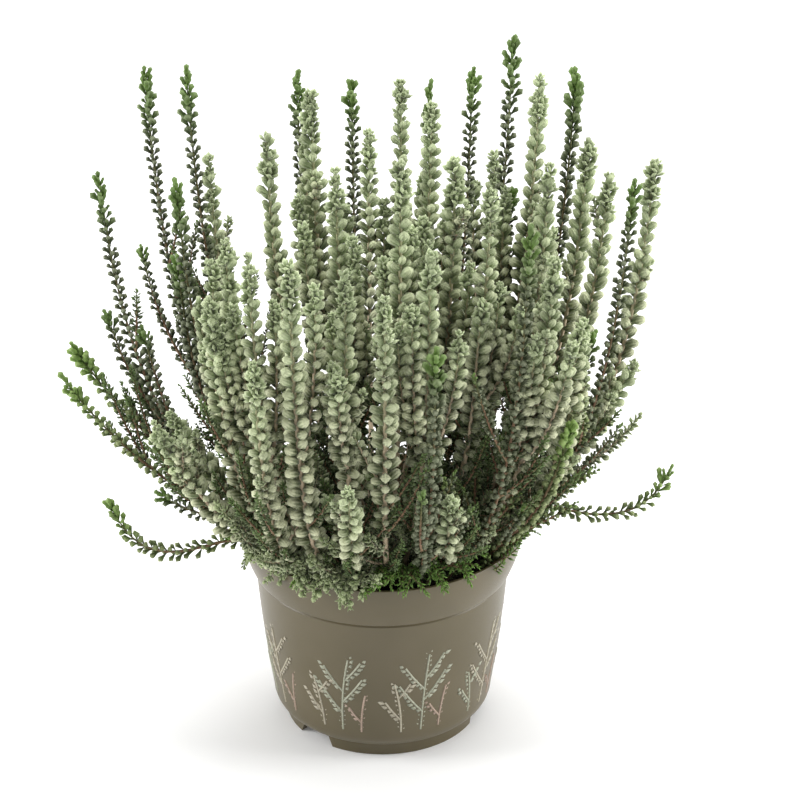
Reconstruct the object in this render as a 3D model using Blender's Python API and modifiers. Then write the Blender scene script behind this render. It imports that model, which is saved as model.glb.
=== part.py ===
"""A potted heather: a plastic pot, its soil, and the leafy stems of one bushy plant.

Metres, +Z up. The origin is on the floor under the middle of the pot, and the side
that is looked at faces -Y. Every stem is one solid with its leaves raised from it in
crossed pairs, and stands in its own hole in the soil.
"""

import math

import bmesh
import bpy
import numpy as np
from mathutils import Vector

# Pot
RIM_RADIUS = 0.060
POT_HEIGHT = 0.091
WALL = 0.0014
BAND_HEIGHT = 0.0195
BAND_LOW_RADIUS = 0.0548
BAND_CURVE = 1.7
BODY_TOP_RADIUS = 0.0532
BODY_LOW_RADIUS = 0.0464
BODY_BULGE = 0.0006
CORNER_HEIGHT = 0.0075
CORNER_TURN = math.radians(50)
FOOT_RADIUS = 0.0410
FOOT_HEIGHT = 0.0055
FOOT_WIDTH = 0.0024
NOTCH_ANGLES = (227, 347, 107)
NOTCH_LOW_WIDTH = 0.0210
NOTCH_TOP_WIDTH = 0.0140
NOTCH_HEIGHT = 0.0051
DRAIN_RADIUS = 0.0045
DRAIN_CIRCLE = 0.026
POT_SIDES = 36

# Soil
GAP = 0.0004
SOIL_TOP = 0.0830
SOIL_EDGE = 0.0815
HOLE_RADIUS = 0.0018
HOLE_DEPTH = 0.012
STEMS_CIRCLE = 0.047
FRONT_SHARE = 0.55
STEM_START = 0.002
FEET_CLOSENESS = 2.6
FEET_ROUNDS = 400
FEET_STEP = 0.2

# Stems: radius in the soil, bare length above it, leaf rows and how far leaves reach
STEM_RADIUS = 0.0010
KINDS = {
    # core is the stem hidden among the leaves; low, full and tip are the leaves' reach
    # at the foot, in the upper part and at the end; row is one pair of leaves
    "silver": dict(core=0.0017, low=0.0028, full=0.0048, tip=0.0030, row=0.0052, bare=0.016),
    "green": dict(core=0.0009, low=0.0019, full=0.0038, tip=0.0014, row=0.0066, bare=0.020),
    "low": dict(core=0.0012, low=0.0022, full=0.0032, tip=0.0014, row=0.0045, bare=0.008),
}
LEAF_LEAN = 0.35
POINT_SHARE = 0.7
CORE_TAPER = 0.04
TIP_ROUNDING = 0.022
FULL_FROM = 0.45
CLEARANCE = 0.0008
RIM_CLEARANCE = 0.0024

# Bending the sprays clear of each other
BEND_SPACING = 0.004
BEND_ROUNDS = 160
BEND_SHARE = 0.4
MOST_BEND = 0.0012
STIFF_POINTS = 5
SPREAD_ROUNDS = 6
SPREAD_GAIN = 1.6
EASING = 0.06

# A route's two handles. Each lies this share of the way out from its end, and this far
# above the foot or below the tip: a share of the rise, and a length.
ARCS = {
    "leaning": ((0.42, 0.28, 0), (0.20, 0.36, 0)),
    "steep": ((0.72, 0.16, 0), (0.06, 0.44, 0)),
    "hooked": ((0.30, 0, 0.022), (0.06, 0, 0.046)),
    "low": ((0.15, 1, 0.012), (0.45, 0, -0.008)),
}
HOOKED_UNDER = 0.06
LEANING_UNDER, STEEP_OVER = 1.3, 2.2

# Tips of the sprays, as x, y, z
SILVER_TIPS = (
    # in and round the crown
    (-0.045, 0.000, 0.260), (-0.028, 0.022, 0.270), (0.008, 0.030, 0.272), (0.020, 0.000, 0.273),
    (0.008, -0.050, 0.268), (0.029, -0.025, 0.260), (0.042, -0.045, 0.256), (0.062, 0.000, 0.285),
    (0.065, -0.025, 0.258), (0.082, 0.006, 0.255), (0.107, -0.010, 0.254), (-0.017, -0.030, 0.258),
    # front and flanks
    (-0.059, -0.045, 0.235), (-0.064, -0.066, 0.220), (-0.049, -0.070, 0.240), (-0.033, -0.088, 0.244),
    (-0.013, -0.075, 0.234), (0.002, -0.088, 0.230), (0.019, -0.070, 0.240), (0.066, -0.058, 0.233),
    (-0.087, -0.064, 0.168), (-0.012, -0.093, 0.155), (-0.047, -0.087, 0.204), (0.079, -0.045, 0.202),
    (0.101, -0.020, 0.172),
    # back
    (-0.072, 0.052, 0.232), (-0.006, 0.090, 0.228), (0.048, 0.082, 0.222), (0.094, 0.045, 0.226),
    # short, low on the left and at the front
    (-0.084, -0.030, 0.155), (0.026, -0.072, 0.139),
)
GREEN_TIPS = (
    # tall
    (-0.110, -0.010, 0.247), (-0.096, 0.044, 0.272), (-0.077, 0.020, 0.279), (-0.078, -0.030, 0.251),
    (-0.035, 0.060, 0.264), (-0.012, 0.044, 0.266), (0.020, 0.070, 0.255), (0.037, 0.045, 0.271),
    (0.052, 0.018, 0.293), (0.078, 0.030, 0.275), (0.097, -0.030, 0.252), (0.056, -0.068, 0.247),
    # low and leaning
    (-0.123, -0.010, 0.174), (-0.124, -0.036, 0.172), (-0.107, -0.048, 0.121), (0.021, -0.087, 0.206),
    (0.074, -0.055, 0.160), (0.121, 0.006, 0.110), (-0.083, 0.012, 0.202), (-0.045, 0.020, 0.213),
)
LOW_TIPS = (
    (-0.036, -0.060, 0.092), (-0.006, -0.069, 0.094), (0.026, -0.064, 0.094), (-0.063, -0.030, 0.099),
    (0.064, -0.026, 0.098), (0.030, 0.063, 0.096), (-0.036, 0.060, 0.096),
)

COLOURS = {
    # base colour, roughness
    "pot": ((0.205, 0.182, 0.145), 0.42),
    "soil": ((0.028, 0.019, 0.013), 0.95),
    "silver": ((0.300, 0.345, 0.225), 0.80),
    "green": ((0.075, 0.125, 0.055), 0.70),
    "low": ((0.050, 0.160, 0.030), 0.65),
}


def clear_scene():
    for obj in list(bpy.data.objects):
        bpy.data.objects.remove(obj, do_unlink=True)


def new_collection(name):
    collection = bpy.data.collections.new(name)
    bpy.context.scene.collection.children.link(collection)
    return collection


def material(name):
    """A Principled material with the colour and roughness listed for this name."""
    colour, roughness = COLOURS[name]
    made = bpy.data.materials.new(name)
    made.use_nodes = True
    made.diffuse_color = (*colour, 1)
    shader = made.node_tree.nodes["Principled BSDF"]
    shader.inputs["Base Color"].default_value = (*colour, 1)
    shader.inputs["Roughness"].default_value = roughness
    shader.inputs["Metallic"].default_value = 0
    return made


def turned(name, profile, collection, finish):
    """A solid turned about Z from a profile of (radius, height) that runs down its outer side."""
    mesh = bpy.data.meshes.new(name)
    edges = [(i, i + 1) for i in range(len(profile) - 1)]
    mesh.from_pydata([(r, 0, z) for r, z in profile], edges, [])
    obj = bpy.data.objects.new(name, mesh)
    collection.objects.link(obj)
    screw = obj.modifiers.new("turn", "SCREW")
    screw.axis = "Z"
    screw.steps = screw.render_steps = POT_SIDES
    screw.use_merge_vertices = True
    screw.merge_threshold = 0.00001
    obj.data.materials.append(finish)
    return obj


def cut(obj, cutter):
    """Takes one closed mesh away from an object, and hides the cutter."""
    cutter.hide_render = True
    cutter.display_type = "WIRE"
    boolean = obj.modifiers.new("cut " + cutter.name, "BOOLEAN")
    boolean.operation = "DIFFERENCE"
    boolean.object = cutter
    boolean.solver = "EXACT"


def band_radius(drop):
    """The rim band's outer radius this far below the rim: upright at first, then drawn in."""
    share = min(drop / BAND_HEIGHT, 1)
    return RIM_RADIUS - (RIM_RADIUS - BAND_LOW_RADIUS) * share**BAND_CURVE


def wall_profile():
    """The pot's outer side as (radius, height), from the rim down to the foot."""
    band = [(band_radius(BAND_HEIGHT * i / 3), POT_HEIGHT - BAND_HEIGHT * i / 3) for i in range(4)]
    top = POT_HEIGHT - BAND_HEIGHT
    low = FOOT_HEIGHT + CORNER_HEIGHT
    middle = (BODY_TOP_RADIUS + BODY_LOW_RADIUS) / 2 + BODY_BULGE
    body = [(BODY_TOP_RADIUS, top), (middle, (top + low) / 2), (BODY_LOW_RADIUS, low)]
    reach = BODY_LOW_RADIUS - FOOT_RADIUS
    corner = (FOOT_RADIUS + reach * math.cos(CORNER_TURN), low - CORNER_HEIGHT * math.sin(CORNER_TURN))
    return band, body, [corner, (FOOT_RADIUS, FOOT_HEIGHT)]


def inside_profile(gap=0):
    """The pot's inner side as (radius, height) from its floor to its rim, or a gap inside of it.

    The ledge under the rim band is a wall's thickness higher than it is outside.
    """
    band, body, _ = wall_profile()
    inset = WALL + gap
    ledge = body[0][1] + inset
    lower = [(r - inset, z) for r, z in reversed(body[1:])]
    step = [(body[0][0] - inset, ledge), (band[-1][0] - inset, ledge)]
    upper = [(r - inset, z) for r, z in reversed(band[:-1])]
    floor = FOOT_HEIGHT + WALL + gap
    return [(0, floor), (FOOT_RADIUS - gap, floor)] + lower + step + upper


def make_pot(collection, cutters):
    band, body, corner = wall_profile()
    foot_inside = FOOT_RADIUS - FOOT_WIDTH
    outer = band + body + corner
    foot = [(FOOT_RADIUS, 0), (foot_inside, 0), (foot_inside, FOOT_HEIGHT), (0, FOOT_HEIGHT)]
    pot = turned("pot", inside_profile() + outer + foot, collection, material("pot"))
    for number, angle in enumerate(NOTCH_ANGLES):
        cut(pot, notch(number, math.radians(angle), cutters))
        cut(pot, drain(number, math.radians(angle), cutters))
    return pot


def notch(number, angle, cutters):
    """A cutter for one gap in the foot ring, wider at the floor than at its top."""
    mesh = bmesh.new()
    bmesh.ops.create_cube(mesh, size=1)
    for vert in mesh.verts:
        below = vert.co.z < 0
        vert.co.x *= 6 * FOOT_WIDTH
        vert.co.y *= NOTCH_LOW_WIDTH if below else NOTCH_TOP_WIDTH
        vert.co.z = -FOOT_WIDTH if below else NOTCH_HEIGHT
    return cutter_object(f"notch_{number}", mesh, angle, FOOT_RADIUS - FOOT_WIDTH / 2, cutters)


def drain(number, angle, cutters):
    mesh = bmesh.new()
    height = 6 * WALL
    bmesh.ops.create_cone(
        mesh, cap_ends=True, segments=10, radius1=DRAIN_RADIUS, radius2=DRAIN_RADIUS, depth=height
    )
    bmesh.ops.translate(mesh, verts=mesh.verts, vec=(0, 0, FOOT_HEIGHT))
    return cutter_object(f"drain_{number}", mesh, angle, DRAIN_CIRCLE, cutters)


def cutter_object(name, mesh, angle, radius, cutters):
    data = bpy.data.meshes.new(name)
    mesh.to_mesh(data)
    mesh.free()
    obj = bpy.data.objects.new(name, data)
    obj.location = (radius * math.cos(angle), radius * math.sin(angle), 0)
    obj.rotation_euler = (0, 0, angle)
    cutters.objects.link(obj)
    return obj


def make_soil(collection, cutters, feet):
    """The root ball: it follows the pot's inside, and has a hole for each stem."""
    edge = (band_radius(POT_HEIGHT - SOIL_EDGE) - WALL - GAP, SOIL_EDGE)
    below = [point for point in inside_profile(GAP) if point[1] < SOIL_EDGE - GAP]
    profile = [(0, SOIL_TOP), edge] + below[::-1]
    soil = turned("soil", profile, collection, material("soil"))
    holes = bmesh.new()
    for x, y in feet:
        hole = bmesh.ops.create_cone(
            holes, cap_ends=True, segments=5, radius1=HOLE_RADIUS, radius2=HOLE_RADIUS, depth=2 * HOLE_DEPTH
        )
        bmesh.ops.translate(holes, verts=hole["verts"], vec=(x, y, soil_height(x, y)))
    cut(soil, cutter_object("stem_holes", holes, 0, 0, cutters))
    return soil


def soil_height(x, y):
    """The soil's height at a point: a low cone from its middle to its edge."""
    edge = band_radius(POT_HEIGHT - SOIL_EDGE) - WALL - GAP
    return SOIL_TOP + (SOIL_EDGE - SOIL_TOP) * math.hypot(x, y) / edge


def spread_feet(tips):
    """Where the stems leave the soil: inner tips stand nearest the middle, all well apart.

    Stems at the front and back start nearer the sides than their tips end.
    """
    order = sorted(range(len(tips)), key=lambda i: math.hypot(tips[i][0], tips[i][1]))
    feet = np.zeros((len(tips), 2))
    for rank, i in enumerate(order):
        radius = STEMS_CIRCLE * math.sqrt((rank + 0.5) / len(tips))
        angle = math.atan2(tips[i][1] * FRONT_SHARE, tips[i][0])
        feet[i] = radius * math.cos(angle), radius * math.sin(angle)
    wanted = STEMS_CIRCLE * math.sqrt(FEET_CLOSENESS / len(tips))
    for _ in range(FEET_ROUNDS):
        away = feet[:, None] - feet[None]
        apart = np.linalg.norm(away, axis=2) + np.eye(len(feet))
        push = np.clip(wanted - apart, 0, None) / apart
        np.fill_diagonal(push, 0)
        feet += FEET_STEP * (away * push[:, :, None]).sum(axis=1)
        out = np.linalg.norm(feet, axis=1, keepdims=True)
        feet *= np.minimum(1, STEMS_CIRCLE / np.maximum(out, 1e-9))
    return feet


def handles(kind, rise, out):
    """The two handles of a route. The steeper a stem is, the sooner it is done with leaning out."""
    if kind == "low" or rise < HOOKED_UNDER:
        return ARCS["low" if kind == "low" else "hooked"]
    share = min(1, max(0, (rise / out - LEANING_UNDER) / (STEEP_OVER - LEANING_UNDER)))
    pairs = zip(ARCS["leaning"], ARCS["steep"])
    return [[a + (b - a) * share for a, b in zip(leaning, steep)] for leaning, steep in pairs]


def first_route(kind, foot, tip, points=40):
    """A smooth arc from the soil to a tip, which leans out first and then turns up."""
    x, y = foot
    start = Vector((x, y, soil_height(x, y) + STEM_START))
    end = Vector(tip)
    out = Vector((end.x - start.x, end.y - start.y, 0))
    rise = end.z - start.z
    first, last = handles(kind, rise, out.length)
    leave = start + out * first[0] + Vector((0, 0, rise * first[1] + first[2]))
    arrive = end - out * last[0] - Vector((0, 0, rise * last[1] + last[2]))
    t = np.linspace(0, 1, points)[:, None]
    weights = ((1 - t) ** 3, 3 * (1 - t) ** 2 * t, 3 * (1 - t) * t**2, t**3)
    return sum(w * np.array(p) for w, p in zip(weights, (start, leave, arrive, end)))


def lengths_along(route):
    """The length of the route from its start to each of its points."""
    steps = np.linalg.norm(np.diff(route, axis=0), axis=1)
    return np.concatenate([[0], np.cumsum(steps)])


def evenly(route, spacing):
    """The route read again at equal steps along its length."""
    along = lengths_along(route)
    count = max(3, round(along[-1] / spacing))
    wanted = np.linspace(0, along[-1], count + 1)
    return np.stack([np.interp(wanted, along, route[:, axis]) for axis in range(3)], axis=1)


def reach_at(kind, done, left):
    """How far the leaves reach from the stem, from the lengths done and still to go."""
    size = KINDS[kind]
    whole = done + left
    if done < size["bare"]:
        return STEM_RADIUS
    share = min(1, (done - size["bare"]) / (FULL_FROM * whole))
    reach = size["low"] + (size["full"] - size["low"]) * share
    ending = min(1, left / TIP_ROUNDING)
    return min(reach, size["tip"] + (size["full"] - size["tip"]) * math.sqrt(ending))


def reaches(kind, route):
    """The leaves' reach at each point of a route."""
    along = lengths_along(route)
    return np.array([reach_at(kind, a, along[-1] - a) for a in along])


def clear_of_rim(points, reach):
    """Pushes that keep points off the pot: in from its wall, or up over its rim."""
    out = np.hypot(points[:, 0], points[:, 1])
    margin = reach + RIM_CLEARANCE
    too_far = out - (RIM_RADIUS - 2 * WALL - margin)
    too_low = POT_HEIGHT + margin - points[:, 2]
    outside = RIM_RADIUS + margin - out
    hit = (too_far > 0) & (too_low > 0) & (outside > 0)
    push = np.zeros_like(points)
    up = hit & (too_low < 2 * too_far)
    inward = hit & ~up
    push[up, 2] = too_low[up]
    push[inward, :2] = -points[inward, :2] / out[inward, None] * too_far[inward, None]
    return push


def bend_clear(kinds, routes):
    """Bends the routes apart, a little at a time, until no spray's leaves cross another's.

    The feet stay where they are, and each push is spread along its stem, so that the
    stems stay smooth.
    """
    routes = [evenly(route, BEND_SPACING) for route in routes]
    owner = np.concatenate([np.full(len(route), i) for i, route in enumerate(routes)])
    first = np.cumsum([0] + [len(route) for route in routes])
    reach = np.concatenate([reaches(kind, route) for kind, route in zip(kinds, routes)])
    points = np.concatenate(routes)
    freedom = np.concatenate([np.clip(np.arange(len(route)) / STIFF_POINTS, 0, 1) for route in routes])
    needed = reach[:, None] + reach[None] + CLEARANCE
    other = owner[:, None] != owner[None]
    for _ in range(BEND_ROUNDS):
        gaps = np.sqrt(np.maximum(squared_distances(points), 1e-12))
        push = np.where(other, np.clip(needed - gaps, 0, None), 0) / gaps
        move = BEND_SHARE * (points * push.sum(axis=1)[:, None] - push @ points)
        size = np.linalg.norm(move, axis=1, keepdims=True)
        move *= np.minimum(1, MOST_BEND / np.maximum(size, 1e-9))
        move += 0.5 * clear_of_rim(points, reach)
        for a, b in zip(first[:-1], first[1:]):
            points[a:b] += spread(move[a:b]) * freedom[a:b, None]
            points[a:b] = eased(points[a:b])
    return [evenly(points[a:b], BEND_SPACING) for a, b in zip(first[:-1], first[1:])]


def squared_distances(points):
    lengths = (points**2).sum(axis=1)
    return lengths[:, None] + lengths[None] - 2 * points @ points.T


def spread(move):
    """Each push shared with the points near it on the stem, and then made up in strength."""
    for _ in range(SPREAD_ROUNDS):
        padded = np.concatenate([move[:1], move, move[-1:]])
        move = 0.25 * padded[:-2] + 0.5 * padded[1:-1] + 0.25 * padded[2:]
    return SPREAD_GAIN * move


def eased(points):
    """Small kinks taken out, with both ends kept."""
    middle = 0.5 * (points[:-2] + points[2:])
    points = points.copy()
    points[1:-1] += EASING * (middle - points[1:-1])
    return points


def stations(kind, length):
    """Places of the rings along a spray: few on its bare stem, then one for each leaf row."""
    size = KINDS[kind]
    rows = max(3, round((length - size["bare"]) / size["row"]))
    return [0, size["bare"] / 2] + list(np.linspace(size["bare"], length, rows + 1))


def ring_radius(kind, at, length):
    """The plain tube's radius: the stem, the core among the leaves, and the pointed end."""
    size = KINDS[kind]
    if at <= size["bare"]:
        return STEM_RADIUS
    if at >= length:
        return POINT_SHARE * size["tip"]
    return min(size["core"], STEM_RADIUS + (at - size["bare"]) * CORE_TAPER)


def make_spray(name, kind, route, collection, finish):
    """One leafy stem: a four-sided tube along its route, with the leaves raised from it."""
    along = lengths_along(route)
    length = along[-1]
    rings = stations(kind, length)
    spots = np.stack([np.interp(rings, along, route[:, axis]) for axis in range(3)], axis=1)
    radii = [ring_radius(kind, at, length) for at in rings]
    foot = spots[0].copy()
    foot[2] = soil_height(foot[0], foot[1]) - HOLE_DEPTH + 0.0004
    spots = np.concatenate([foot[None], spots])
    radii = [STEM_RADIUS] + radii
    obj = tube(name, spots, radii, collection, finish)
    reach = [0, 0, 0] + [reach_at(kind, at, length - at) for at in rings[2:-1]] + [0]
    raise_leaves(obj.data, spots, reach, KINDS[kind]["row"])
    return obj


def tube(name, spots, radii, collection, finish):
    """A four-sided tube through the spots, as a mesh whose caps are welded on."""
    curve = bpy.data.curves.new(name, "CURVE")
    curve.dimensions = "3D"
    curve.bevel_depth = 1
    curve.bevel_resolution = 0
    curve.use_fill_caps = True
    spline = curve.splines.new("POLY")
    spline.points.add(len(spots) - 1)
    for point, spot, radius in zip(spline.points, spots, radii):
        point.co = (*spot, 1)
        point.radius = radius
    guide = bpy.data.objects.new(name + "_guide", curve)
    collection.objects.link(guide)
    graph = bpy.context.evaluated_depsgraph_get()
    mesh = bpy.data.meshes.new_from_object(guide.evaluated_get(graph))
    mesh.name = name
    obj = bpy.data.objects.new(name, mesh)
    obj.matrix_world = guide.matrix_world
    bpy.data.objects.remove(guide)
    mesh.materials.clear()
    mesh.materials.append(finish)
    collection.objects.link(obj)
    return obj


def raise_leaves(mesh, spots, reach, row):
    """Lifts opposite corners of each ring outwards, turn by turn, as crossed pairs of leaves.

    A raised corner also leans towards the tip, so a leaf rises slowly and ends abruptly.
    """
    ends = [Vector(b) - Vector(a) for a, b in zip(spots[:-1], spots[1:])]
    for ring, corners in enumerate(corners_of_rings(mesh, spots)):
        if not reach[ring]:
            continue
        centre = Vector(spots[ring])
        tipwards = (ends[ring - 1].normalized() + ends[ring].normalized()).normalized()
        for vertex in corners[ring % 2 :: 2]:
            outwards = vertex.co - centre
            outwards -= tipwards * outwards.dot(tipwards)
            vertex.co = centre + outwards.normalized() * reach[ring] + tipwards * (LEAF_LEAN * row)
    joined = bmesh.new()
    joined.from_mesh(mesh)
    bmesh.ops.remove_doubles(joined, verts=joined.verts, dist=0.000002)
    joined.to_mesh(mesh)
    joined.free()


def corners_of_rings(mesh, spots):
    """The tube's vertices, ring by ring, in their order round the stem."""
    rings = [[] for _ in spots]
    for vertex in mesh.vertices:
        nearest = np.linalg.norm(spots - np.array(vertex.co), axis=1).argmin()
        rings[nearest].append(vertex)
    return rings


def main():
    clear_scene()
    collection = new_collection("potted_heather")
    cutters = new_collection("cutters")
    kinds = ["silver"] * len(SILVER_TIPS) + ["green"] * len(GREEN_TIPS) + ["low"] * len(LOW_TIPS)
    tips = SILVER_TIPS + GREEN_TIPS + LOW_TIPS
    feet = spread_feet(tips)
    routes = [first_route(*spray) for spray in zip(kinds, feet, tips)]
    routes = bend_clear(kinds, routes)
    make_pot(collection, cutters)
    make_soil(collection, cutters, feet)
    finishes = {kind: material(kind) for kind in KINDS}
    made = dict.fromkeys(KINDS, 0)
    for kind, route in zip(kinds, routes):
        made[kind] += 1
        make_spray(f"spray_{kind}_{made[kind]:02d}", kind, route, collection, finishes[kind])


main()
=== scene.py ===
# %% [markdown]
# # A potted heather
# This lesson dresses a bushy heather in its plastic pot. The plant's stems, its soil and
# its pot already exist as plain, faceted solids, and they are loaded first. Each later
# step then makes one finer piece in the place of one plain solid: rows of woolly buds
# along every stem, crumbly soil, and a smooth pot with a printed edging of sprigs.
# %% Load the plain solids
import math
import random

import bmesh
import bpy
import numpy as np
from mathutils import Matrix, Vector, noise


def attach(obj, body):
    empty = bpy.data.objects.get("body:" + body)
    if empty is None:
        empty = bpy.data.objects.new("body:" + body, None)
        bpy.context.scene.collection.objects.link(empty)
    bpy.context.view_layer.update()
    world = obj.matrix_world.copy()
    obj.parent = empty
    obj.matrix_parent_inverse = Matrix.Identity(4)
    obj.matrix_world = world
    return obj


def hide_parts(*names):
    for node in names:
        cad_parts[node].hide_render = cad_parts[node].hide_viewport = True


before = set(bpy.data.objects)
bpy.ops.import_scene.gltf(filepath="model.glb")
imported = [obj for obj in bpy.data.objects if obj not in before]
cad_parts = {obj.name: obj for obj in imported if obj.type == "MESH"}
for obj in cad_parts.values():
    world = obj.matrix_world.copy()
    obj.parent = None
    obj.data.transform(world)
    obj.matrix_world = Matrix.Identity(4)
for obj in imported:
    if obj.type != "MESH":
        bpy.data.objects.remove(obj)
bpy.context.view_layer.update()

print("plain solids:", len(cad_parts))

# %% [markdown]
# ## Small helpers
# Materials and Geometry Nodes are both trees of nodes, so one function can add a node,
# set its options and connect its sockets. Many nodes hide sockets of the same name for
# other kinds of data, so the helper looks only at the sockets that are in use. Most
# nodes are wanted for their first output alone, and "make" hands on just that.
# %% Add, connect and read nodes
def in_use(sockets, key):
    shown = [socket for socket in sockets if socket.enabled]
    return shown[key] if isinstance(key, int) else next(s for s in shown if s.name == key)


def put(tree, kind, sockets=None, **options):
    """A new node, with its options set and each named socket connected or given a value."""
    node = tree.nodes.new(kind)
    for option, value in options.items():
        setattr(node, option, value)
    for key, value in (sockets or {}).items():
        socket = in_use(node.inputs, key)
        if isinstance(value, bpy.types.NodeSocket):
            tree.links.new(value, socket)
        else:
            socket.default_value = value
    return node


def make(tree, kind, sockets=None, **options):
    """The first output of a new node."""
    return in_use(put(tree, kind, sockets, **options).outputs, 0)


def calc(tree, operation, *values):
    return make(tree, "ShaderNodeMath", dict(enumerate(values)), operation=operation)


def plus(tree, value, *others):
    for other in others:
        value = calc(tree, "ADD", value, other)
    return value


def times(tree, value, *others):
    for other in others:
        value = calc(tree, "MULTIPLY", value, other)
    return value


def curve_value(tree, share, points):
    """A number read from a drawn curve, given as (position, height) points from 0 to 1."""
    node = put(tree, "ShaderNodeFloatCurve", {"Value": share})
    line = node.mapping.curves[0]
    while len(line.points) < len(points):
        line.points.new(0.5, 0.5)
    for point, place in zip(line.points, points):
        point.location = place
    node.mapping.update()
    return in_use(node.outputs, 0)

# %% [markdown]
# An object is only a name and a place for its data, and it shows once a collection holds
# it. The same two lines serve the camera, the lights and every mesh, so they are one
# function here.
# %% Put an object in the scene
def new_object(name, data):
    made = bpy.data.objects.new(name, data)
    bpy.context.scene.collection.objects.link(made)
    return made


def as_mesh(name, drawn):
    """Plain mesh data from a bmesh, which is then let go."""
    data = bpy.data.meshes.new(name)
    drawn.to_mesh(data)
    drawn.free()
    return data

# %% [markdown]
# ## Camera
# The picture was taken a little above the plant, looking down on the crown. A long lens
# keeps the pot's sides nearly parallel. The camera is placed by its aim, its distance
# and how far it looks down, which is easier to reason about than three coordinates.
# %% Place the camera
AIM = Vector((0.0076, 0, 0.147))
DISTANCE = 1.05
LOOKS_DOWN = math.radians(26.5)
LENS = 114.6

camera = new_object("camera", bpy.data.cameras.new("camera"))
camera.data.lens = LENS
camera.data.sensor_width = 36
camera.data.clip_start = 0.05
camera.location = AIM + DISTANCE * Vector((0, -math.cos(LOOKS_DOWN), math.sin(LOOKS_DOWN)))
camera.rotation_euler = (math.pi / 2 - LOOKS_DOWN, 0, 0)
bpy.context.scene.camera = camera
print("camera height:", round(camera.location.z, 3))

# %% [markdown]
# ## Light
# A white studio: one wide soft light overhead, one tall one at each side, and a pale sky
# that fills the shadows. The side lights run down the pot's flanks and leave its middle
# a little darker. The plain view keeps whites white, as in a catalogue picture.
# %% Hang the lights
bpy.context.scene.view_settings.view_transform = "Standard"
LIT_PLACE = Vector((0, 0, 0.12))


def soft_light(name, place, size, power):
    light = bpy.data.lights.new(name, "AREA")
    light.shape = "RECTANGLE"
    light.size, light.size_y = size
    light.energy = power
    lamp = new_object(name, light)
    lamp.location = place
    lamp.rotation_euler = (LIT_PLACE - Vector(place)).to_track_quat("-Z", "Y").to_euler()


soft_light("overhead", (0.10, 0.25, 1.5), (1.2, 1.2), 21)
soft_light("left", (-1.3, -0.10, 0.5), (0.6, 1.2), 17)
soft_light("right", (1.3, -0.10, 0.5), (0.6, 1.2), 17)

sky = bpy.data.worlds.new("studio")
sky.use_nodes = True
sky.node_tree.nodes["Background"].inputs["Color"].default_value = (1, 1, 1, 1)
sky.node_tree.nodes["Background"].inputs["Strength"].default_value = 0.50
bpy.context.scene.world = sky
print("lights:", len(bpy.data.lights))

# %% [markdown]
# ## Floor
# A wide disc of matt white paper, so pale that only a soft shadow shows on it. A trace of
# its own light lifts it to the white of the background. A number that is the same all
# over a surface belongs on the shader's own socket, so the helper sets them there.
# %% Lay the floor
def new_material(name, roughness, look=None):
    """A material, its tree and its shader, with plain numbers set on the shader's sockets."""
    made = bpy.data.materials.new(name)
    made.use_nodes = True
    shader = made.node_tree.nodes["Principled BSDF"]
    for socket, value in {"Roughness": roughness, **(look or {})}.items():
        shader.inputs[socket].default_value = value
    return made, made.node_tree, shader


FLOOR_RADIUS = 4.0
ground = bmesh.new()
bmesh.ops.create_circle(ground, cap_ends=True, segments=96, radius=FLOOR_RADIUS)
floor = new_object("floor", as_mesh("floor", ground))
floor.data.materials.append(new_material("white_paper", 0.9, {
    "Base Color": (0.96, 0.96, 0.96, 1), "Emission Color": (1, 1, 1, 1), "Emission Strength": 0.06,
    "Specular IOR Level": 0.1})[0])
print("floor radius:", FLOOR_RADIUS)

# %% [markdown]
# ## Where the stems run
# The plain stems are tubes of four-sided rings. Walking from the foot of a tube along its
# edges reaches one ring after the other, and the middle of each ring is a point of the
# stem's centre line. The buds will be set along that line, so that the finer plant
# stands exactly where the plain one does. A set of points has no order of its own, so
# they are summed by their number, and every run then gives the very same line.
# %% Read a centre line from each plain stem
LINE_STEP = 0.004


def even_line(points):
    """The same line with points LINE_STEP apart, rounded off a little."""
    points = np.array(points, float)
    for _ in range(2):
        points[1:-1] = (points[:-2] + 2 * points[1:-1] + points[2:]) / 4
    along = np.concatenate([[0], np.cumsum(np.linalg.norm(np.diff(points, axis=0), axis=1))])
    wanted = np.linspace(0, along[-1], max(4, round(along[-1] / LINE_STEP)) + 1)
    return np.stack([np.interp(wanted, along, points[:, axis]) for axis in range(3)], axis=1)


def centre_line(node):
    """The middles of a plain stem's rings, from its foot to its tip."""
    mesh = bmesh.new()
    mesh.from_mesh(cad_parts[node].data)
    bmesh.ops.remove_doubles(mesh, verts=mesh.verts, dist=1e-6)
    mesh.verts.index_update()
    foot = min(vert.co.z for vert in mesh.verts)
    ring = {vert for vert in mesh.verts if vert.co.z < foot + 0.0003}
    seen, middles = set(ring), []
    while ring:
        ordered = sorted(ring, key=lambda vert: vert.index)
        middles.append(sum((vert.co for vert in ordered), Vector()) / len(ordered))
        ring = {edge.other_vert(vert) for vert in ring for edge in vert.link_edges} - seen
        seen |= ring
    mesh.free()
    return even_line(middles)


LINES = {name: centre_line(name) for name in sorted(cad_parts) if name.startswith("spray")}
print("stems:", len(LINES), "longest:", round(max(map(len, LINES.values())) * LINE_STEP, 3))

# %% [markdown]
# ## Leaf colours
# Heather leaves are tiny green scales. On this plant most of them hide in pale felt, which
# is thickest on the ridges and the tips, so each leaf shape stores, in an attribute named
# for its wool, how woolly it is at every point. That number rises from a bud's or leaf's
# foot to its end: the felt, and also a painted highlight on the end and painted shade at
# the foot. The rows add two more numbers: "along", the place on the stem from foot to tip,
# and "luck", a number of its own for each bud. A material can then blend green, felt and
# fresh growth without a single picture. It also paints shade: the shade colour darkens each
# stem towards its foot, and the distance from the plant's upright axis and the height add
# it low in the middle of the bush.
# %% Read and mix numbers in a material
def attribute(tree, name):
    return put(tree, "ShaderNodeAttribute", attribute_name=name, attribute_type="GEOMETRY").outputs["Fac"]


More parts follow.
